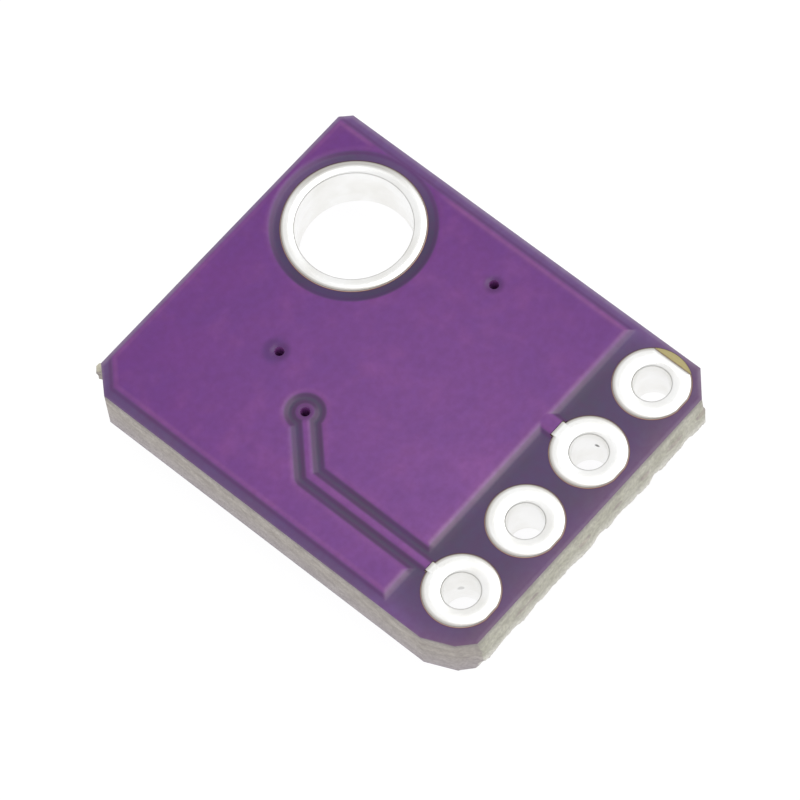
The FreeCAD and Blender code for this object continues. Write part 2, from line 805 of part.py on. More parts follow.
def make_chip(label, place, height, upright):
    """A ceramic block, a cap over each end of it, and a solder joint at each cap."""
    turn = 90 if upright else 0
    half_length, half_width = "chip_length / 2", "chip_width / 2"
    block = part_body(f"{label}_body", place, turn)
    size = (("0", "0"), f"{half_length} - end_cap_thickness", f"{half_width} - end_cap_thickness")
    add_block(block, "solder_film + end_cap_thickness", less(height, "2 * end_cap_thickness"), size)
    nodes[f"{label}_body"] = block
    caps = part_body(f"{label}_cap_blocks", place, turn)
    middle = less(half_length, "end_cap_length / 2")
    add_block(caps, "solder_film", height, *[
        ((f"{end} * ({middle})", "0"), "end_cap_length / 2", half_width) for end in (-1, 1)
    ])
    inner = amount(middle)
    round_edges(caps, "end_cap_round", lambda spot: abs(spot.x) > inner - CONTACT)
    nodes[f"{label}_end_caps"] = cut(f"{label}_end_caps", caps, block)
    joints = part_body(f"{label}_joints", place, turn)
    for end in (-1, 1):
        add_joint(
            joints, end, less(half_length, "end_cap_length"), half_length,
            "chip_land_reach + chip_land_length / 2 - joint_margin", "solder_film + joint_climb",
            "chip_land_width - 2 * joint_margin",
        )
    nodes[f"{label}_joints"] = joints


def make_resistor(label, place):
    """A flat chip with dark glaze over its element, between the caps."""
    make_chip(label, place, "resistor_height", upright=False)
    glaze = part_body(f"{label}_glaze", place)
    size = (("0", "0"), "chip_length / 2 - end_cap_length", "chip_width / 2 - 2 * end_cap_thickness")
    add_block(glaze, "solder_film + resistor_height - end_cap_thickness", "glaze_thickness", size)
    nodes[f"{label}_glaze"] = glaze


def make_regulator():
    """Moulded three-lead package: a body drafted both ways from its parting line, on gull-wing leads."""
    parting = "solder_film + (regulator_height + regulator_standoff) / 2"
    half_height = "(regulator_height - regulator_standoff) / 2"
    leads = part_body("regulator_leads", REGULATOR)
    joints = part_body("regulator_joints", REGULATOR)
    thickness = "regulator_lead_thickness"
    root = "regulator_width / 4"
    shoulder = "regulator_width / 2 + regulator_shoulder"
    heel = "regulator_lead_span / 2 - regulator_foot"
    toe = "regulator_lead_span / 2"
    foot_top = sum_of("solder_film", thickness)
    for end, row in ((-1, 0), (1, -1), (1, 1)):
        offset = f"{row} * regulator_lead_pitch"
        sketch = body_sketch(leads, f"-({offset})", "XZ_Plane")
        draw_path(sketch, [(f"{end} * ({x})", z) for x, z in (
            (root, sum_of(parting, f"{thickness} / 2")),
            (shoulder, sum_of(parting, f"{thickness} / 2")),
            (heel, foot_top),
            (toe, foot_top),
            (toe, "solder_film"),
            (less(heel, thickness), "solder_film"),
            (less(shoulder, thickness), less(parting, f"{thickness} / 2")),
            (root, less(parting, f"{thickness} / 2")),
        )], closed=True)
        pad(leads, sketch, "regulator_lead_width", both_ways=True)
        add_joint(
            joints, end, heel, toe, "regulator_land_reach + regulator_land_length / 2 - joint_margin",
            foot_top, "regulator_land_width - 2 * joint_margin", offset,
        )
    nodes["regulator_leads"] = leads
    nodes["regulator_joints"] = joints
    moulding = part_body("regulator_moulding", REGULATOR)
    for downwards in (False, True):
        size = (("0", "0"), "regulator_width / 2", "regulator_length / 2")
        half = add_block(moulding, parting, half_height, size)
        half.Reversed = downwards
        tie(half, "TaperAngle", "-regulator_draft")
    nodes["regulator_body"] = cut("regulator_body", moulding, leads)


def make_sensor():
    """Leadless moulded package, open to the air through a funnel over its sensing element."""
    top = "solder_film + sensor_height"
    ends = [(end, row) for end in (-1, 1) for row in (-1, 0, 1)]
    lead_middle = "sensor_side / 2 - sensor_lead_length / 2"
    half_lead = ("sensor_lead_length / 2", "sensor_lead_width / 2")
    slug = (("0", "0"), "sensor_slug_width / 2", "sensor_slug_length / 2")
    leads = part_body("sensor_leads", SENSOR)
    add_block(leads, "solder_film", "sensor_lead_thickness", slug, *[
        ((f"{end} * ({lead_middle})", f"{row} * sensor_lead_pitch"), *half_lead) for end, row in ends
    ])
    nodes["sensor_leads"] = leads
    joints = part_body("sensor_joints", SENSOR)
    add_block(joints, "0", "solder_film", slug)
    for end, row in ends:
        add_joint(
            joints, end, "sensor_side / 2 - sensor_lead_length", "sensor_side / 2",
            "sensor_land_reach + sensor_land_length / 2 - joint_margin",
            "solder_film + sensor_lead_thickness", "sensor_lead_width - joint_margin",
            f"{row} * sensor_lead_pitch",
        )
    nodes["sensor_joints"] = joints
    moulding = part_body("sensor_moulding", SENSOR)
    add_block(moulding, "solder_film", "sensor_height", (("0", "0"), "sensor_side / 2", "sensor_side / 2"))
    sketch = body_sketch(moulding, role="XZ_Plane")
    floor = less(top, "port_depth")
    draw_path(sketch, [("0", floor), ("port_throat", floor), ("port_mouth", top), ("0", top)], closed=True)
    port = moulding.newObject("PartDesign::Groove", "sensor_port")
    port.Profile = sketch
    port.ReferenceAxis = (sketch, ["V_Axis"])
    port.Angle = 360
    nodes["sensor_body"] = cut("sensor_body", moulding, leads)
    element = part_body("sensing_element", SENSOR)
    add_block(element, floor, "element_thickness", (("0", "0"), "element_side / 2", "element_side / 2"))
    nodes["sensing_element"] = element


make_laminate()
make_lining("plated_mounting_hole", HOLE, "hole_bore", "hole_pad", "hole_rim")
make_pin_linings()
make_plated_vias()
neck_lands = [
    (beside(pin, y="neck_reach / 2"), f"{name}_neck_width / 2", "neck_reach / 2")
    for name, pin in zip(PIN_NAMES, PINS) if name in ("data", "ground")
]
make_copper_and_mask("back", BACK, BACK_NETS, back_pour_outline, "back_gap", neck_lands, [])
front_lands = GROUND_LANDS + [land for shapes in FRONT_NETS.values() for land in shapes["lands"]]
make_copper_and_mask("front", FRONT, FRONT_NETS, front_pour_outline, "front_gap", [], front_lands)
make_sensor()
make_regulator()
make_chip("input_capacitor", INPUT_CAPACITOR, "capacitor_height", upright=True)
make_chip("output_capacitor", OUTPUT_CAPACITOR, "capacitor_height", upright=True)
make_chip("sensor_capacitor", SENSOR_CAPACITOR, "capacitor_height", upright=True)
make_resistor("data_pullup", DATA_PULLUP)
make_resistor("clock_pullup", CLOCK_PULLUP)

doc.recompute()
for item in doc.Objects:
    if {"Invalid", "Error"} & set(item.State):
        raise RuntimeError(f"{item.Label} did not build: {item.State}")
os.makedirs("parts", exist_ok=True)
for name, item in nodes.items():
    shape = item.Shape
    if shape.isNull() or not shape.isValid():
        raise RuntimeError(f"{name} has no valid shape")
    shape.exportStep(f"parts/{name}.step")
    print(f"{name}: {len(shape.Solids)} solids, {shape.Volume:.3f} mm3")
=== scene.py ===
import json
import math

import bpy
import numpy as np
from mathutils import Matrix, Vector, geometry, noise


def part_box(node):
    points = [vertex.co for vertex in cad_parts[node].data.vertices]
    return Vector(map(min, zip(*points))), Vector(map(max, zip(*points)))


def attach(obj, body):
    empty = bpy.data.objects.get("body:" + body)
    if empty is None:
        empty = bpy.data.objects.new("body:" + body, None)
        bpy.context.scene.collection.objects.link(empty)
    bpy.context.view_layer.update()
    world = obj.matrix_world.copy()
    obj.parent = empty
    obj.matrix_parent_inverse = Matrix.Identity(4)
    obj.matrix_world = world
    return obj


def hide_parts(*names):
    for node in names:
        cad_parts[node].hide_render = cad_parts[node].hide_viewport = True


MM = 0.001

# The board's outline, and from where to where its header edge and its far edge go
WIDTH, LENGTH = 10.42, 12.88
HEADER_RUN, FAR_RUN = (0.80, 9.75), (0.66, 10.14)
OUTLINE = [
    (HEADER_RUN[0], 0), (HEADER_RUN[1], 0), (WIDTH, 0.60), (WIDTH, 12.60),
    (FAR_RUN[1], LENGTH), (FAR_RUN[0], LENGTH), (0, 12.17), (0, 1.25), (0.37, 0.40),
]

# The header's holes: a tinned barrel and a round pad each. The pads are cut straight this far from the board's header
# edge and side, and two of them have a neck to their copper.
PINS = {"data": 1.655, "clock": 4.195, "ground": 6.735, "supply": 9.275}
PIN_Y = 1.288
BORE, PAD = 0.51, 1.03
PAD_CUT, SIDE_CUT = 0.28, 0.32
NECK_HALF = {"data": 0.15, "ground": 0.24}
NECK_REACH = 1.10

# The mounting hole
HOLE = (7.905, 10.385)
HOLE_BORE, HOLE_PAD = 1.58, 1.945

# The tin: its wall in a bore, its height on a face and the crown in that height, the roundings at its inner and outer
# edges, and the foot of copper beneath it that shows. It starts a little below that copper's top.
PLATING = 0.035
PAD_HEIGHT, CROWN = 0.07, 0.012
RIM, EDGE_ROUND = 0.065, 0.028
FOOT, OVERLAP = 0.026, 0.005
# The shares of the way out at which the crown's rows start and end, and how many rows and corners there are
CROWN_FROM, CROWN_TO = 0.08, 0.92
RIM_STEPS, CROWN_STEPS, EDGE_STEPS, AROUND = 7, 11, 5, 288

# The vias: the data track's, the sensor's and the regulator's
DATA_VIA = (2.963, 7.758)
VIAS = [DATA_VIA, (3.862, 9.450), (8.895, 6.354)]
VIA_BORE, VIA_PAD, VIA_WALL = 0.135, 0.25, 0.025

# The copper that the back's mask covers, with the gap round the track and the mounting hole, and the track's width
GAP, TRACK = 0.305, 0.20
DATA_TRACK = [(PINS["data"], PIN_Y), (PINS["data"], 6.45), DATA_VIA]
POUR_START = 2.74
POUR = [(0.33, POUR_START), (10.09, POUR_START), (10.09, 12.78), (0.98, 12.78), (0.33, 12.13)]
NECK = [(6.495, 2.20), (6.975, 2.20), (6.975, 3.0), (6.495, 3.0)]

# The mask: its thickness and the copper's, and how far its slope goes to each side of a copper edge. It sinks at the
# vias and at the board's rim, stays this thick at least, and keeps this gap to the pads.
COAT, COPPER = 0.02, 0.04
SLOPE_IN, SLOPE_OUT = 0.10, 0.16
VIA_SINK, RIM_SINK, SINK_WIDTH = 0.016, 0.010, 0.07
THINNEST = 0.004
MASK_GAP = 0.03

# The mask's mesh is fine this near to a copper edge, a via and the rim. Its inner points keep clear of the edges by a
# share of their pitch.
FINE, COARSE, CLEARANCE = 0.04, 0.25, 0.4
NEAR_COPPER, NEAR_VIA, NEAR_RIM = 0.19, 0.5, 0.15

# The header edge and the far edge are scored from both faces and snapped, which leaves a torn web between the slopes.
# At the header edge the front's score lies further in. A wall is a snapped one if it faces those edges by this much.
SCORE_DEPTH, SCORE_REACH, FRONT_OFFSET, SNAPPED = 0.50, 0.09, 0.08, 0.9
# The share of the web's reach that is left at the edge's ends, and how far in from them it narrows
END_SHARE, TAPER = 0.4, 0.10
# The web's tufts: how far they stand out and hang down, the skin that stays on the slopes, and waves a millimetre
TUFT_REACH, HANG, SKIN = 0.033, 0.20, 0.01
TUFT_WAVES, TUFT_RISE_WAVES = 2.3, 1.5
# The deepest tears of the web at the header edge: how far along, and how much further out
TEARS = [(1.30, 0.015), (2.80, 0.02), (4.90, 0.045), (6.25, 0.03), (7.30, 0.06), (8.50, 0.035), (9.60, 0.045)]
TEAR_WIDTH = 0.22
# The tab that the far edge's snap left at one corner
TORN_TAB, TAB_REACH, TAB_RISE, TAB_SLOPE = (0.64, LENGTH), 0.14, (0.82, 1.25), 3
# The cut fibres and plies stand out by so much, with these waves a millimetre along, across and up
ROUGHNESS = 0.004
FIBRE_WAVES, PLY_WAVES = (11, 11, 7), (0.8, 0.8, 12)

# How far apart the points of the board's outline are in the mask and in the laminate, how many rows its wall has, the
# angle at which an edge stays sharp, how near two points count as one, and what keeps a division off zero
MASK_PITCH, WALL_PITCH, WALL_ROWS = 0.06, 0.05, 37
SHARP = math.radians(38)
HAIR, TINY = 1e-5, 1e-3

# Where the cleared ring round the mounting hole is darkest in painted shade, where its tin has a painted dull
# reflection, and a via's dark side
HOLE_SHADE, HOLE_DULL_REFLECTION, VIA_DARK_PATCH = (7.40, 9.90), (9.15, 11.65), (3.74, 9.68)
# Small dark marks on the barrels' walls: the middle, the reach and how dark
MARKS = [((2.00, 1.66, 1.756), 0.13, 0.30), ((7.21, 1.44, 2.10), 0.09, 0.85)]
# How far in from the board's outline the light through the laminate reaches, and how soft a copper edge's colours are
EDGE_FADE, BLEND = 0.45, 0.05

CAMERA_SPOT = (-46.64, -52.10, 140.09)
CAMERA_AIM = (-0.423, -0.368, 2.70)
CAMERA_ROLL = -8.22
LENS, SENSOR = 266.3, 36

# The light in metres and watts, the white table's grey and glow, and the sky's strength low down and high up
KEY_SPOT, KEY_AIM, KEY_SIZE, KEY_POWER = (0.203, -0.054, 0.398), (0, 0, 0.002), 0.30, 0.60
TABLE_REACH, TABLE_GREY, TABLE_GLOW = 2.0, 0.12, 0.94
SKY, SKY_FROM, SKY_TO = (0.45, 0.92), 0.10, 0.60

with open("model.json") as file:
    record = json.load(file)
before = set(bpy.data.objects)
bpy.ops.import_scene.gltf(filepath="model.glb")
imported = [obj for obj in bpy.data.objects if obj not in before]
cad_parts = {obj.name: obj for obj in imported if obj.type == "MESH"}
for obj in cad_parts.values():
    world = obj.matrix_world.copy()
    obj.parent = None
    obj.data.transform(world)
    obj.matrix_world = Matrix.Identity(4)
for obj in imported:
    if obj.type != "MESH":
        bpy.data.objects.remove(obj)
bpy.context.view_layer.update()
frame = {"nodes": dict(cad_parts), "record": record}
laminate_low, laminate_high = (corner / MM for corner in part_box("substrate"))
CORNER = np.array(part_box("back_solder_mask")[0])[:2] / MM
FRONT, BACK = laminate_low.z, laminate_high.z


# Fields over the board: signed distances that are below zero inside a shape


def away(points, centre):
    return np.hypot(points[:, 0] - centre[0], points[:, 1] - centre[1])


def near_via(points):
    return np.min([away(points, via) for via in VIAS], axis=0)


def along(points, path):
    """The distance to a line of straight runs."""
    nearest = np.full(len(points), np.inf)
    for start, end in zip(path, path[1:]):
        start, run = np.array(start), np.subtract(end, start)
        share = np.clip((points - start) @ run / (run @ run), 0, 1)
        nearest = np.minimum(nearest, np.linalg.norm(points - start - share[:, None] * run, axis=1))
    return nearest


def within(points, corners):
    """The signed distance to a shape with no hollow corner, given counter-clockwise."""
    field = np.full(len(points), -np.inf)
    for start, end in zip(corners, corners[1:] + corners[:1]):
        run = np.subtract(end, start)
        outwards = np.array([run[1], -run[0]]) / np.hypot(*run)
        field = np.maximum(field, (points - start) @ outwards)
    return field


def copper_field(points):
    """Below zero over copper that the mask covers."""
    track = np.minimum(along(points, DATA_TRACK) - TRACK / 2, away(points, DATA_VIA) - VIA_PAD)
    pour = np.minimum(within(points, POUR), within(points, NECK))
    pour = np.maximum(pour, GAP - track)
    pour = np.maximum(pour, HOLE_PAD + GAP - away(points, HOLE))
    return np.minimum(pour, track)


def climb(values, start, width):
    """0 up to a start, and from there smoothly up to 1 over a width."""
    share = np.clip((values - start) / width, 0, 1)
    return share * share * (3 - 2 * share)


def bell(values, middle, width):
    """1 at a middle value, and smoothly down to 0 at a width to each side."""
    return 1 - climb(abs(values - middle), 0, width)


# Outlines as rings of points


def circle(radius):
    return lambda angles: np.full(len(angles), radius)


def ring(centre, reach, count=360):
    """A ring round a centre, with its reach given by a function of the angle."""
    angles = np.linspace(0, 2 * math.pi, count, endpoint=False)
    size = reach(angles)
    return np.stack([centre[0] + size * np.cos(angles), centre[1] + size * np.sin(angles)], 1)


def divided(corners, pitch):
    """A closed outline with points no further apart than the pitch."""
    places = []
    for start, end in zip(corners, corners[1:] + corners[:1]):
        count = max(1, math.ceil(math.dist(start, end) / pitch))
        places.append(np.linspace(start, end, count, endpoint=False))
    return np.concatenate(places)


def pad_reach(name, grow=0.0, trimmed=True):
    """How far a header pad goes from its hole's middle: round, cut straight at the edges, with a neck to its copper.

    Only the supply pad reaches the board's side, where it's cut if it's trimmed.
    """

    def reach(angles):
        across, up = np.cos(angles), np.sin(angles)
        size = np.full(len(angles), PAD + grow)
        size = np.minimum(size, (PIN_Y - PAD_CUT + grow) / np.maximum(-up, TINY))
        if name == "supply" and trimmed:
            size = np.minimum(size, (WIDTH - SIDE_CUT - PINS[name]) / np.maximum(across, TINY))
        if name in NECK_HALF:
            half = NECK_HALF[name] + grow
            neck = np.minimum(NECK_REACH / np.maximum(up, TINY), half / np.maximum(abs(across), TINY))
            size = np.where(up > 0, np.maximum(size, neck), size)
        return size

    return reach


def opening_reach(name):
    """The same for the mask's opening round the pad, which isn't cut at the board's side."""
    return pad_reach(name, MASK_GAP, trimmed=False)


# Meshes


def new_piece(name, places, faces, material, stands_for):
    """A mesh piece from places in millimetres in the part's frame."""
    mesh = bpy.data.meshes.new(name)
    mesh.from_pydata((np.asarray(places) * MM).tolist(), [], faces)
    mesh.update()
    mesh.shade_smooth()
    mesh.set_sharp_from_angle(angle=SHARP)
    piece = bpy.data.objects.new(name, mesh)
    bpy.context.scene.collection.objects.link(piece)
    mesh.materials.append(material)
    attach(piece, "root")
    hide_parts(stands_for)
    return piece


def store(piece, name, values):
    """A number for each point of the piece, which its material reads."""
    attribute = piece.data.attributes.new(name, "FLOAT", "POINT")
    attribute.data.foreach_set("value", np.asarray(values, np.float32))


def grid(pitch, keep):
    """Points of a square grid over the board that pass a test."""
    xs, ys = np.meshgrid(np.arange(pitch / 2, WIDTH, pitch), np.arange(pitch / 2, LENGTH, pitch))
    points = np.stack([xs.ravel(), ys.ravel()], 1)
    return points[keep(points)]


def triangulated(rings, inner_points, solid):
    """Triangles over the rings and inner points, kept where their middles are solid."""
    points, edges = [], []
    for loop in rings:
        first = sum(len(part) for part in points)
        edges += [(first + i, first + (i + 1) % len(loop)) for i in range(len(loop))]
        points.append(loop)
    points = np.concatenate(points + [inner_points])
    found = geometry.delaunay_2d_cdt([Vector(point) for point in points], edges, [], 0, HAIR)
    points, triangles = np.array(found[0]), np.array(found[2])
    middles = points[triangles].mean(axis=1)
    return points, triangles[solid(middles)]


def rims(triangles):
    """The edges that only one triangle has, each in its triangle's direction."""
    sides = np.concatenate([triangles[:, [0, 1]], triangles[:, [1, 2]], triangles[:, [2, 0]]])
    there = {tuple(side) for side in sides.tolist()}
    return [(a, b) for a, b in sides.tolist() if (b, a) not in there]


def open_field(points):
    """Below zero in the mask's openings and via mouths."""
    field = away(points, HOLE) - HOLE_PAD - MASK_GAP
    for name, x in PINS.items():
        offset = points - (x, PIN_Y)
        reach = opening_reach(name)(np.arctan2(offset[:, 1], offset[:, 0]))
        field = np.minimum(field, np.hypot(*offset.T) - reach)
    return np.minimum(field, near_via(points) - VIA_BORE)


def make_back_mask(material):
    """The back's mask: one coat whose surface swells over the copper and sinks into the vias."""
    rings = [divided(OUTLINE, MASK_PITCH)]
    rings += [ring((x, PIN_Y), opening_reach(name)) for name, x in PINS.items()]
    rings.append(ring(HOLE, circle(HOLE_PAD + MASK_GAP)))
    rings += [ring(via, circle(VIA_BORE), count=48) for via in VIAS]

    def clear(points, gap):
        return (within(points, OUTLINE) < -gap) & (open_field(points) > gap)

    def busy(points):
        near_edge = (abs(copper_field(points)) < NEAR_COPPER) | (within(points, OUTLINE) > -NEAR_RIM)
        return near_edge | (near_via(points) < NEAR_VIA)

    fine = grid(FINE, lambda points: clear(points, CLEARANCE * FINE) & busy(points))
    coarse = grid(COARSE, lambda points: clear(points, CLEARANCE * COARSE) & ~busy(points))
    points, triangles = triangulated(rings, np.concatenate([fine, coarse]), lambda middles: clear(middles, 0))
    from_copper, from_rim, from_via = copper_field(points), within(points, OUTLINE), near_via(points)
    top = BACK + COAT + COPPER * (1 - climb(from_copper, -SLOPE_IN, SLOPE_IN + SLOPE_OUT))
    top -= VIA_SINK * np.exp(-((from_via - VIA_BORE) / SINK_WIDTH) ** 2)
    top -= RIM_SINK * climb(from_rim, -SINK_WIDTH, SINK_WIDTH)
    bottom = np.where(from_copper < 0, BACK + COPPER, BACK)
    bottom = np.minimum(bottom, top - THINNEST)
    flat = points + CORNER
    places = np.concatenate([np.column_stack([flat, top]), np.column_stack([flat, bottom])])
    count = len(points)
    faces = triangles.tolist() + (triangles[:, ::-1] + count).tolist()
    faces += [(b, a, a + count, b + count) for a, b in rims(triangles)]
    piece = new_piece("back_mask_relief", places, faces, material, "back_solder_mask")
    fields = {"from_copper": from_copper, "from_via": from_via, **mask_light(points, from_copper, from_rim)}
    for name, values in fields.items():
        store(piece, name, np.concatenate([values, values]).clip(-1, 1))


def mask_light(points, from_copper, from_rim):
    """As shares, where the back's mask is lit through the laminate, and where the copper's edges catch the light."""
    x, y = points.T
    # Light through the laminate is painted near the rim, and halved by painted shade along the left side away from the
    # header
    shaded_side = (1 - climb(x, start=0, width=1.5)) * climb(y, start=2.0, width=2.0)
    lit = np.exp(from_rim / EDGE_FADE) * (1 - 0.5 * shaded_side)
    # The rim is greyer, most where painted light comes through the laminate towards the far corner, wider by the right
    # side, with a painted highlight along the far edge
    backlit = 0.3 + 0.7 * climb(x / WIDTH + y / LENGTH, start=0.8, width=0.4)
    by_side = climb(x, start=9.6, width=0.4)
    rim_width = 0.08 + 0.07 * by_side
    far_rim_highlight = 0.85 * climb(y, start=LENGTH - 0.15, width=0.12)
    rim = np.maximum(backlit * climb(from_rim, -rim_width, rim_width), far_rim_highlight)

    # A copper edge's crest is pinker where the mask is thin, with a painted highlight that is weaker inside the board
    # than by its rim, and weakest round the mounting hole
    crest_and_highlight = 0.10 + 0.12 * climb(from_rim, start=-1.1, width=0.5) + 0.14 * by_side
    crest_and_highlight *= 0.25 + 0.75 * climb(away(points, HOLE), start=2.3, width=0.4)
    crest_and_highlight *= bell(from_copper, middle=-0.07, width=0.12)

    # The ground area's edge beside the pins has a painted highlight along it, a pale line up to the track's gap
    by_pins = bell(from_copper, POUR_START - y, width=0.06)
    by_pins *= climb(abs(x - PINS["data"]), start=TRACK / 2 + GAP, width=0.12)
    crest_and_highlight = np.maximum(crest_and_highlight, 0.16 * bell(from_copper, middle=-0.09, width=0.12) * by_pins)
    pin_side_highlight = 0.24 - 0.10 * climb(x, start=5.0, width=4.0)
    pin_side_highlight *= bell(from_copper, middle=0.02, width=0.17) * by_pins
    return {"lit": lit, "backlit": backlit, "rim": rim, "crest_and_highlight": crest_and_highlight, "pin_side_highlight": pin_side_highlight}


def noise_at(place, waves=(1, 1, 1)):
    return noise.noise(Vector([distance * count for distance, count in zip(place, waves)]))


def ragged(middle, swing, place, fringe):
    """A share that wanders about a middle value with the noise at a place, and never goes below 0."""
    return max(0.0, middle + swing * noise_at(place) + fringe)


def reach_of_cut(x, y, rise, outwards):
    """How far a cut wall stands out of the outline at a rise above the front face."""
    fibres = noise_at((x, y, rise), FIBRE_WAVES)
    out = ROUGHNESS * (fibres + noise_at((x, y, rise), PLY_WAVES))
    if abs(outwards[1]) > SNAPPED:
        at_header = outwards[1] < 0
        left = BACK - FRONT - rise
        from_end = min(abs(x - end) for end in (HEADER_RUN if at_header else FAR_RUN))
        web = SCORE_REACH * min(1.0, END_SHARE + from_end / TAPER)
        out += web * min(1.0, rise / SCORE_DEPTH, left / SCORE_DEPTH)
        if at_header:
            out -= FRONT_OFFSET * max(0.0, 1 - rise / SCORE_DEPTH)
        hang = HANG * ragged(middle=0.35, swing=1.0, place=(x * TUFT_WAVES, 3, 5), fringe=0.2 * fibres)
        if rise > SCORE_DEPTH - SKIN - hang and left > SCORE_DEPTH - SKIN:
            place = (x * TUFT_WAVES, 7, rise * TUFT_RISE_WAVES)
            out = max(out, web) + TUFT_REACH * ragged(middle=0.5, swing=0.9, place=place, fringe=0.25 * fibres)
            if at_header:
                out += sum(deep * math.exp(-((x - middle) / TEAR_WIDTH) ** 2) for middle, deep in TEARS)
    if TAB_RISE[0] < rise < TAB_RISE[1]:
        tab = max(0.0, 1 - math.dist((x, y), TORN_TAB) / TAB_REACH)
        out += TAB_REACH * min(1.0, TAB_SLOPE * tab) * (1 + 0.5 * fibres)
    return out


def make_laminate(material):
    """The board's laminate: milled walls at the sides, and torn fibres at the snapped edges."""
    wall = divided(OUTLINE, WALL_PITCH)
    holes = [ring((x, PIN_Y), circle(BORE + PLATING), count=96) for x in PINS.values()]
    holes.append(ring(HOLE, circle(HOLE_BORE + PLATING), count=192))
    holes += [ring(via, circle(VIA_BORE + VIA_WALL), count=32) for via in VIAS]

    def solid(points):
        bored = (away(points, HOLE) < HOLE_BORE + PLATING) | (near_via(points) < VIA_BORE + VIA_WALL)
        for x in PINS.values():
            bored |= away(points, (x, PIN_Y)) < BORE + PLATING
        return (within(points, OUTLINE) < -HAIR) & ~bored

    points, triangles = triangulated([wall] + holes, np.zeros((0, 2)), solid)
    count = len(points)
    flat = points + CORNER
    front = np.column_stack([flat[:, 0], np.maximum(flat[:, 1], CORNER[1] + FRONT_OFFSET)])
    places = np.concatenate([
        np.column_stack([flat, np.full(count, BACK)]), np.column_stack([front, np.full(count, FRONT)]),
    ])
    faces = triangles.tolist() + (triangles[:, ::-1] + count).tolist()
    outer = [side for side in rims(triangles) if max(side) < len(wall)]
    inner = [side for side in rims(triangles) if max(side) >= len(wall)]
    faces += [(b, a, a + count, b + count) for a, b in inner]

    # The outer wall, in rows from the back face down to the front face
    ends = dict(outer)
    order = [outer[0][0]]
    while ends[order[-1]] != order[0]:
        order.append(ends[order[-1]])
    rim = points[order]
    runs = np.roll(rim, -1, axis=0) - np.roll(rim, 1, axis=0)
    outwards = np.stack([runs[:, 1], -runs[:, 0]], 1) / np.hypot(*runs.T)[:, None]
    milled = abs(outwards[:, 1]) < SNAPPED
    rows = [order]
    for level in np.linspace(BACK, FRONT, WALL_ROWS)[1:-1]:
        rise = level - FRONT
        moved = np.array([
            (*(place + CORNER + way * reach_of_cut(*place, rise, way)), level) for place, way in zip(rim, outwards)
        ])
        slope = FRONT_OFFSET - (FRONT_OFFSET + SCORE_REACH) * rise / SCORE_DEPTH
        moved[milled, 1] = np.maximum(moved[milled, 1], CORNER[1] + slope)
        moved = moved.clip(laminate_low, laminate_high)
        first = len(places)
        places = np.concatenate([places, moved])
        rows.append(list(range(first, first + len(order))))
    rows.append([point + count for point in order])
    for upper, lower in zip(rows, rows[1:]):
        for i, point in enumerate(upper):
            j = (i + 1) % len(upper)
            faces.append((upper[j], point, lower[i], lower[j]))
    new_piece("laminate_block", places, faces, material, "substrate")


def make_plated_hole(node, centre, bore, reach, material):
    """Tinned barrel with a crowned pad at each end. Each row of its section is a share of the way out and an offset."""
    top = BACK + PAD_HEIGHT - CROWN
    half = []
    for angle in np.linspace(0, math.pi / 2, RIM_STEPS):
        half.append((0, RIM * (1 - math.cos(angle)), top - RIM + RIM * math.sin(angle)))
    for share in np.linspace(CROWN_FROM, CROWN_TO, CROWN_STEPS):
        offset = RIM * (1 - share) - EDGE_ROUND * share
        half.append((share, offset, top + CROWN * math.sin(math.pi * share)))
    for angle in np.linspace(0, math.pi / 2, EDGE_STEPS):
        half.append((1, EDGE_ROUND * (math.sin(angle) - 1), top - EDGE_ROUND + EDGE_ROUND * math.cos(angle)))
    half += [(1, 0, BACK + COPPER - OVERLAP), (1, FOOT, BACK + COAT), (1, FOOT, BACK), (0, PLATING, BACK)]
    section = half + [(share, offset, FRONT + BACK - z) for share, offset, z in reversed(half)]
    angles = np.linspace(0, 2 * math.pi, AROUND, endpoint=False)
    outer = reach(angles)
    places = []
    for share, offset, z in section:
        size = bore + share * (outer - bore) + offset
        flat = np.array(centre) + CORNER + np.stack([size * np.cos(angles), size * np.sin(angles)], 1)
        places.append(np.column_stack([flat, np.full(AROUND, z)]))
    faces = []
    for row in range(len(section)):
        here, below = row * AROUND, (row + 1) % len(section) * AROUND
        for i in range(AROUND):
            j = (i + 1) % AROUND
            faces.append((here + i, below + i, below + j, here + j))
    piece = new_piece(node + "_tin", np.concatenate(places), faces, material, node)
    store(piece, "foot", np.repeat([offset == FOOT for share, offset, z in section], AROUND))
    store(piece, "rim", np.repeat([share for share, offset, z in section], AROUND))


# Materials


def linear(red, green, blue):
    """A colour of 0 to 255 as the renderer's linear values."""
    shares = [value / 255 for value in (red, green, blue)]
    return tuple(s / 12.92 if s < 0.04 else ((s + 0.055) / 1.055) ** 2.4 for s in shares) + (1,)


# The mask over copper, with a painted sheen by the header that dims towards the far edge
SHEEN_LIT_COPPER_VIOLETS = linear(122, 68, 140), linear(102, 44, 124)
# The mask over laminate in shade, and lit through the laminate, inside the board and at the header edge
LAMINATE_VIOLET = linear(69, 57, 85)
LIT_VIOLETS = linear(114, 79, 137), linear(108, 81, 112)
BLUSH_TONE, BLOTCH_TONE, GRAIN_TONE = linear(160, 88, 150), linear(86, 48, 124), linear(86, 30, 84)
# The back's mask at a copper edge's foot, and on its crest with a painted highlight; a painted highlight beside the
# pins;
# painted shade in the vias' mouths, a darker patch by one via, and painted shade by the mounting hole
FOOT_TONE, CREST_HIGHLIGHT_TONE, PIN_SIDE_HIGHLIGHT_TONE = linear(84, 16, 90), linear(164, 104, 148), linear(190, 166, 186)
VIA_SHADE_TONE, VIA_PATCH_TONE, SHADE_TONE = linear(44, 20, 60), linear(40, 24, 76), linear(46, 34, 76)
# The back's rim, in shade and lit through the laminate
RIM_TONES = linear(116, 98, 96), linear(146, 134, 154)

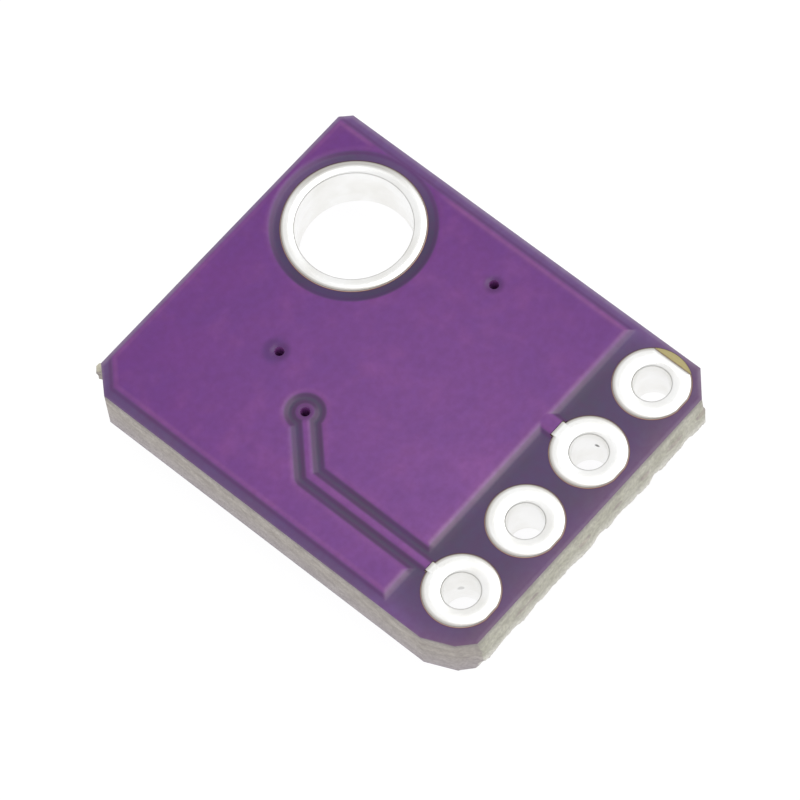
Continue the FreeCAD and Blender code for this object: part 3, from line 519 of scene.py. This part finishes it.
TIN_TONES = linear(247, 247, 246), linear(236, 235, 231)
# The tin's painted dark reflection at its outer edges, its painted dull reflection on the mounting hole's ring, and
# dark marks
TIN_EDGE_REFLECTION_TONE, DULL_REFLECTION_TONE, MARK_TONE = linear(150, 140, 128), linear(124, 114, 100), linear(70, 70, 72)
BARE_COPPER = linear(150, 84, 50)

# The laminate's milled walls and their lower part, its torn walls and the pale hem in them, its flat faces, and what
# all walls have: a violet painted shadow under the mask's lip, and pits
MILLED_TONES = linear(160, 152, 146), linear(192, 185, 178)
LOW_TONE = linear(178, 170, 182)
TORN_TONES = linear(179, 177, 162), linear(207, 205, 191)
HEM_TONE = linear(230, 228, 218)
FRONT_TONE, BACK_TONE = linear(196, 191, 174), linear(176, 164, 115)
LIP_SHADOW_TONE, PIT_TONE = linear(104, 90, 108), linear(128, 120, 122)

# The nodes' other materials: two near tones and the gloss
PLAIN = {
    "tinned_lead": dict(tones=[(206, 206, 208), (188, 188, 190)], roughness=0.34, metallic=1.0),
    "solder": dict(tones=[(214, 214, 216), (196, 196, 199)], roughness=0.22, metallic=1.0, depth=0.006),
    "copper": dict(tones=[(196, 120, 84), (180, 104, 70)], roughness=0.35, metallic=1.0),
    "moulding": dict(tones=[(40, 40, 43), (50, 50, 53)], roughness=0.62, scale=8.0, depth=0.004),
    "sensing_film": dict(tones=[(108, 88, 52), (84, 66, 36)], roughness=0.2),
    "capacitor_ceramic": dict(tones=[(166, 134, 100), (150, 118, 86)], roughness=0.5),
    "alumina": dict(tones=[(226, 224, 218), (212, 210, 204)], roughness=0.55),
    "glaze": dict(tones=[(26, 26, 29), (34, 34, 37)], roughness=0.25),
    "via_coat": dict(tones=[(150, 82, 160), (132, 66, 142)], roughness=0.8),
}

# The stretch that leaves a spot's height out of the distance to it
FLAT = (1.0, 1.0, 0.0)


def new_material(name, roughness, metallic=0.0):
    material = bpy.data.materials.new(name)
    material.use_nodes = True
    shader = material.node_tree.nodes["Principled BSDF"]
    shader.inputs["Roughness"].default_value = roughness
    shader.inputs["Metallic"].default_value = metallic
    return material, material.node_tree, shader


def place_in_part(tree):
    """The place in the part's own frame, in metres."""
    return tree.nodes.new("ShaderNodeTexCoord").outputs["Object"]


def axes(tree, vector):
    split = tree.nodes.new("ShaderNodeSeparateXYZ")
    tree.links.new(vector, split.inputs["Vector"])
    return split.outputs


def attribute_of(tree, name):
    """A number that the piece stores at its points."""
    node = tree.nodes.new("ShaderNodeAttribute")
    node.attribute_name = name
    return node.outputs["Fac"]


def spread(tree, value, low, high, to_low=0.0, to_high=1.0, kind="LINEAR"):
    node = tree.nodes.new("ShaderNodeMapRange")
    node.interpolation_type = kind
    for key, setting in zip(("From Min", "From Max", "To Min", "To Max"), (low, high, to_low, to_high)):
        node.inputs[key].default_value = setting
    tree.links.new(value, node.inputs["Value"])
    return node.outputs["Result"]


def arithmetic(tree, operation, *operands):
    """A calculation with numbers and other nodes' outputs."""
    node = tree.nodes.new("ShaderNodeMath")
    node.operation = operation
    for socket, value in zip(node.inputs, operands):
        if isinstance(value, float):
            socket.default_value = value
        else:
            tree.links.new(value, socket)
    return node.outputs["Value"]


def mix(tree, share, first, second):
    """Two colours mixed. Each is a colour or another node's output."""
    node = tree.nodes.new("ShaderNodeMix")
    node.data_type = "RGBA"
    sockets = [s for s in node.inputs if s.name in ("A", "B") and s.type == "RGBA"]
    for socket, value in zip(sockets, (first, second)):
        if isinstance(value, tuple):
            socket.default_value = value
        else:
            tree.links.new(value, socket)
    tree.links.new(share, node.inputs["Factor"])
    return next(s for s in node.outputs if s.type == "RGBA")


def add_noise(tree, scale, detail, stretch=(1, 1, 1)):
    """Noise in the part's own frame. The scale is in waves a millimetre."""
    mapping = tree.nodes.new("ShaderNodeMapping")
    mapping.inputs["Scale"].default_value = [scale * s / MM for s in stretch]
    texture = tree.nodes.new("ShaderNodeTexNoise")
    texture.inputs["Scale"].default_value = 1
    texture.inputs["Detail"].default_value = detail
    tree.links.new(place_in_part(tree), mapping.inputs["Vector"])
    tree.links.new(mapping.outputs["Vector"], texture.inputs["Vector"])
    return texture.outputs["Fac"]


def patches(tree, scale, detail, low=0.3, high=0.7, most=1.0, stretch=(1, 1, 1)):
    """Noise as a share: 0 where the noise is low, and at its most where the noise is high."""
    return spread(tree, add_noise(tree, scale, detail, stretch), low, high, 0.0, most)


def add_bump(tree, shader, height, depth):
    """Bump of a depth in millimetres."""
    bump = tree.nodes.new("ShaderNodeBump")
    bump.inputs["Distance"].default_value = depth * MM
    tree.links.new(height, bump.inputs["Height"])
    tree.links.new(bump.outputs["Normal"], shader.inputs["Normal"])


def from_spot(tree, spot, stretch):
    """The distance from a spot in millimetres, with space stretched along its axes first."""
    mapping = tree.nodes.new("ShaderNodeMapping")
    mapping.inputs["Scale"].default_value = [s / MM for s in stretch]
    mapping.inputs["Location"].default_value = [-s * c for s, c in zip(stretch, (*(CORNER + spot[:2]), spot[2]))]
    measure = tree.nodes.new("ShaderNodeVectorMath")
    measure.operation = "LENGTH"
    tree.links.new(place_in_part(tree), mapping.inputs["Vector"])
    tree.links.new(mapping.outputs["Vector"], measure.inputs[0])
    return measure.outputs["Value"]


def near_spot(tree, spot, full, gone, most=1.0):
    """A share that is at its most up to a first distance from a spot on the board, and 0 from a second one on."""
    return spread(tree, from_spot(tree, (*spot, 0), FLAT), full, gone, most, 0.0)


def by_height(tree, start, end, most=1.0, kind="LINEAR"):
    """A share that goes from 0 at one height to its most at another."""
    return spread(tree, axes(tree, place_in_part(tree))["Z"], start * MM, end * MM, 0.0, most, kind)


def hump(tree, value, middle, width, height):
    """A smooth rise to a height at a middle value, gone at a width to each side."""
    off = arithmetic(tree, "ABSOLUTE", arithmetic(tree, "SUBTRACT", value, middle))
    return spread(tree, off, 0.0, width, height, 0.0, "SMOOTHSTEP")


def mask_material(name, share, lit, tones_and_painted_light=None):
    """Glossy violet mask: clear violet over copper with a painted sheen, and over laminate a dull one with painted
    light near the edges.
    """
    material, tree, shader = new_material(name, roughness=0.26)
    shader.inputs["Specular IOR Level"].default_value = 0.35
    # A painted sheen over the copper, brightest by the header's corner and dimmer further off
    sheen_fade = spread(tree, from_spot(tree, (3.5, 2.5, 0), stretch=(1.3, 1.0, 0.0)), low=1.0, high=11.0)
    blush = patches(tree, scale=1.3, detail=4.0, low=0.5, high=0.7, most=0.14)
    over_copper = mix(tree, blush, mix(tree, sheen_fade, *SHEEN_LIT_COPPER_VIOLETS), BLUSH_TONE)
    inner, outer = (float(CORNER[1] + from_header) * MM for from_header in (2.4, 0.6))
    header = spread(tree, axes(tree, place_in_part(tree))["Y"], low=inner, high=outer)
    over_laminate = mix(tree, lit(tree), LAMINATE_VIOLET, mix(tree, header, *LIT_VIOLETS))
    base = mix(tree, share(tree), over_laminate, over_copper)
    if tones_and_painted_light:
        base = tones_and_painted_light(tree, base)
    blotches = patches(tree, scale=0.7, detail=3.0, low=0.38, high=0.62, most=0.20)
    base = mix(tree, blotches, base, BLOTCH_TONE)
    grain = patches(tree, scale=5.0, detail=3.0, most=0.22)
    tree.links.new(mix(tree, grain, base, GRAIN_TONE), shader.inputs["Base Color"])
    add_bump(tree, shader, add_noise(tree, scale=6.0, detail=3.0), depth=0.0006)
    return material


def back_share(tree):
    """The back's copper beneath the mask."""
    return spread(tree, attribute_of(tree, "from_copper"), BLEND, -BLEND, kind="SMOOTHSTEP")


def back_lit(tree):
    return attribute_of(tree, "lit")


def back_tones_and_painted_light(tree, base):
    """Pale on the crest of each copper edge with a painted highlight, dark at its foot, in painted shade round the
    vias, and dull at the rim, with painted light through the laminate.
    """
    foot = hump(tree, attribute_of(tree, "from_copper"), middle=0.06, width=0.08, height=0.40)
    base = mix(tree, foot, base, FOOT_TONE)
    # Painted highlights on the crests, which are also pinker where the mask is thin, and beside the pins
    base = mix(tree, attribute_of(tree, "crest_and_highlight"), base, CREST_HIGHLIGHT_TONE)
    base = mix(tree, attribute_of(tree, "pin_side_highlight"), base, PIN_SIDE_HIGHLIGHT_TONE)
    from_via = attribute_of(tree, "from_via")
    # Painted shade in the vias' mouths
    base = mix(tree, hump(tree, from_via, middle=0.13, width=0.24, height=0.55), base, VIA_SHADE_TONE)
    # A darker patch on one side of a via
    beside = near_spot(tree, VIA_DARK_PATCH, full=0.25, gone=0.60)
    dark_patch = hump(tree, from_via, middle=0.34, width=0.22, height=0.45)
    base = mix(tree, arithmetic(tree, "MULTIPLY", dark_patch, beside), base, VIA_PATCH_TONE)
    by_hole = near_spot(tree, HOLE_SHADE, full=2.0, gone=2.5, most=0.45)
    laminate = arithmetic(tree, "SUBTRACT", 1.0, back_share(tree))
    base = mix(tree, arithmetic(tree, "MULTIPLY", by_hole, laminate), base, SHADE_TONE)
    rim = spread(tree, attribute_of(tree, "rim"), low=0.0, high=1.0, to_high=0.75)
    return mix(tree, rim, base, mix(tree, attribute_of(tree, "backlit"), *RIM_TONES))


def front_share(tree):
    """The front mask's swell over its copper, from its height."""
    return by_height(tree, FRONT - 0.03, FRONT - 0.05)


def front_lit(tree):
    """The front's mask over laminate is lighter towards the board's border."""
    from_middle = from_spot(tree, (WIDTH / 2, LENGTH / 2, 0), stretch=(LENGTH / WIDTH, 1.0, 0.0))
    return spread(tree, from_middle, low=5.8, high=7.5)


def tin_material(name):
    """Bright tin with painted reflections, dull on the mounting hole's ring and dark at the outer edges, over copper
    that shows at the pads' feet.
    """
    material, tree, shader = new_material(name, roughness=0.22, metallic=1.0)
    rim = attribute_of(tree, "rim")
    bright = mix(tree, patches(tree, scale=1.1, detail=4.0, low=0.40, high=0.75), *TIN_TONES)
    # A painted dark reflection on the pads' rounded outer edges
    edge_reflection = spread(tree, rim, low=0.80, high=1.0, to_high=0.55, kind="SMOOTHSTEP")
    bright = mix(tree, edge_reflection, bright, TIN_EDGE_REFLECTION_TONE)
    # A painted dull reflection on the mounting hole's ring
    there = near_spot(tree, HOLE_DULL_REFLECTION, full=0.9, gone=1.9)
    dull_reflection = hump(tree, rim, middle=0.75, width=0.40, height=0.50)
    bright = mix(tree, arithmetic(tree, "MULTIPLY", dull_reflection, there), bright, DULL_REFLECTION_TONE)
    for spot, reach, dark in MARKS:
        off = from_spot(tree, spot, stretch=(1 / reach,) * 3)
        mark = spread(tree, off, low=0.4, high=1.0, to_low=dark, to_high=0.0, kind="SMOOTHSTEP")
        bright = mix(tree, mark, bright, MARK_TONE)
    base = mix(tree, attribute_of(tree, "foot"), bright, BARE_COPPER)
    tree.links.new(base, shader.inputs["Base Color"])
    add_bump(tree, shader, add_noise(tree, scale=2.2, detail=2.0), depth=0.0015)
    return material


def laminate_material():
    """Glass and resin: pale fibres in layers on the cut walls, ochre on the flat faces."""
    material, tree, shader = new_material("laminate", roughness=0.75)
    facing = axes(tree, tree.nodes.new("ShaderNodeNewGeometry").outputs["Normal"])
    fibres = patches(tree, scale=2.4, detail=8.0, stretch=(1.0, 1.0, 2.5))
    low = by_height(tree, FRONT + 0.9, FRONT, most=0.5)
    milled = mix(tree, low, mix(tree, fibres, *MILLED_TONES), LOW_TONE)
    hem = by_height(tree, FRONT + 0.85, FRONT + 0.45, most=0.9, kind="SMOOTHSTEP")
    torn = mix(tree, hem, mix(tree, fibres, *TORN_TONES), HEM_TONE)
    snapped = spread(tree, arithmetic(tree, "ABSOLUTE", facing["Y"]), low=0.80, high=0.90)
    wall = mix(tree, snapped, milled, torn)
    wall = mix(tree, patches(tree, scale=13.0, detail=2.0, low=0.40, high=0.60, most=0.26), wall, PIT_TONE)
    # A painted shadow under the mask's lip
    wall = mix(tree, by_height(tree, BACK - 0.20, BACK, most=0.45, kind="SMOOTHSTEP"), wall, LIP_SHADOW_TONE)
    face = mix(tree, by_height(tree, BACK - 0.02, BACK - 0.01), FRONT_TONE, BACK_TONE)
    base = mix(tree, spread(tree, facing["Z"], low=0.8, high=0.95), wall, face)
    tree.links.new(base, shader.inputs["Base Color"])
    add_bump(tree, shader, add_noise(tree, scale=12.0, detail=6.0, stretch=(1.0, 1.0, 3.0)), depth=0.02)
    return material


def plain_material(name, tones, roughness, scale=3.0, metallic=0.0, depth=0.002):
    """Two near tones mixed by noise, with a fine bump."""
    material, tree, shader = new_material(name, roughness, metallic)
    low, high = (linear(*tone) for tone in tones)
    tree.links.new(mix(tree, patches(tree, scale, detail=6.0), low, high), shader.inputs["Base Color"])
    add_bump(tree, shader, add_noise(tree, scale * 4, detail=4.0), depth)
    return material


def dress_nodes(looks):
    """The CAD nodes that stay, each by its record slot."""
    slots = {part["node"]: part["material_slot"] for part in frame["record"]["subparts"]}
    for name, node in frame["nodes"].items():
        node.data.materials.clear()
        node.data.materials.append(looks["via_coat" if name == "plated_vias" else slots[name]])


# Surroundings


def make_floor():
    """A white table, lit from below like a light table so that hardly a shadow shows on it."""
    side = TABLE_REACH
    mesh = bpy.data.meshes.new("floor")
    mesh.from_pydata([(-side, -side, 0), (side, -side, 0), (side, side, 0), (-side, side, 0)], [], [(0, 1, 2, 3)])
    material, tree, shader = new_material("floor", roughness=0.9)
    shader.inputs["Base Color"].default_value = (TABLE_GREY, TABLE_GREY, TABLE_GREY, 1)
    shader.inputs["Specular IOR Level"].default_value = 0.0
    shader.inputs["Emission Color"].default_value = (1, 1, 1, 1)
    shader.inputs["Emission Strength"].default_value = TABLE_GLOW
    mesh.materials.append(material)
    floor = bpy.data.objects.new("floor", mesh)
    bpy.context.scene.collection.objects.link(floor)


def make_light():
    lamp = bpy.data.lights.new("key", "AREA")
    lamp.size = KEY_SIZE
    lamp.energy = KEY_POWER
    light = bpy.data.objects.new("key", lamp)
    light.location = KEY_SPOT
    light.rotation_euler = (Vector(KEY_AIM) - Vector(KEY_SPOT)).to_track_quat("-Z", "Y").to_euler()
    bpy.context.scene.collection.objects.link(light)


def make_world():
    world = bpy.data.worlds.new("studio")
    world.use_nodes = True
    tree = world.node_tree
    direction = axes(tree, tree.nodes.new("ShaderNodeTexCoord").outputs["Generated"])
    sky = tree.nodes["Background"]
    sky.inputs["Color"].default_value = (1, 1, 1, 1)
    tree.links.new(spread(tree, direction["Z"], SKY_FROM, SKY_TO, *SKY), sky.inputs["Strength"])
    bpy.context.scene.world = world


def make_camera():
    camera = bpy.data.objects.new("camera", bpy.data.cameras.new("camera"))
    camera.data.lens = LENS
    camera.data.sensor_width = SENSOR
    camera.data.clip_start = 0.01
    spot, aim = Vector(CAMERA_SPOT) * MM, Vector(CAMERA_AIM) * MM
    level = (aim - spot).to_track_quat("-Z", "Y").to_matrix()
    turned = level @ Matrix.Rotation(math.radians(CAMERA_ROLL), 3, "Z")
    camera.matrix_world = Matrix.Translation(spot) @ turned.to_4x4()
    bpy.context.scene.collection.objects.link(camera)
    bpy.context.scene.camera = camera


tin = tin_material("tin")
laminate = laminate_material()
looks = {name: plain_material(name, **settings) for name, settings in PLAIN.items()}
looks["solder_mask"] = mask_material("front_mask", front_share, front_lit)
looks["tinned_copper"] = tin
looks["laminate"] = laminate
dress_nodes(looks)
make_back_mask(mask_material("back_mask", back_share, back_lit, back_tones_and_painted_light))
make_laminate(laminate)
for pin_name, pin_x in PINS.items():
    make_plated_hole(f"plated_{pin_name}_hole", (pin_x, PIN_Y), BORE, pad_reach(pin_name), tin)
make_plated_hole("plated_mounting_hole", HOLE, HOLE_BORE, circle(HOLE_PAD), tin)
make_floor()
make_world()
make_light()
make_camera()
bpy.context.scene.view_settings.view_transform = "Standard"
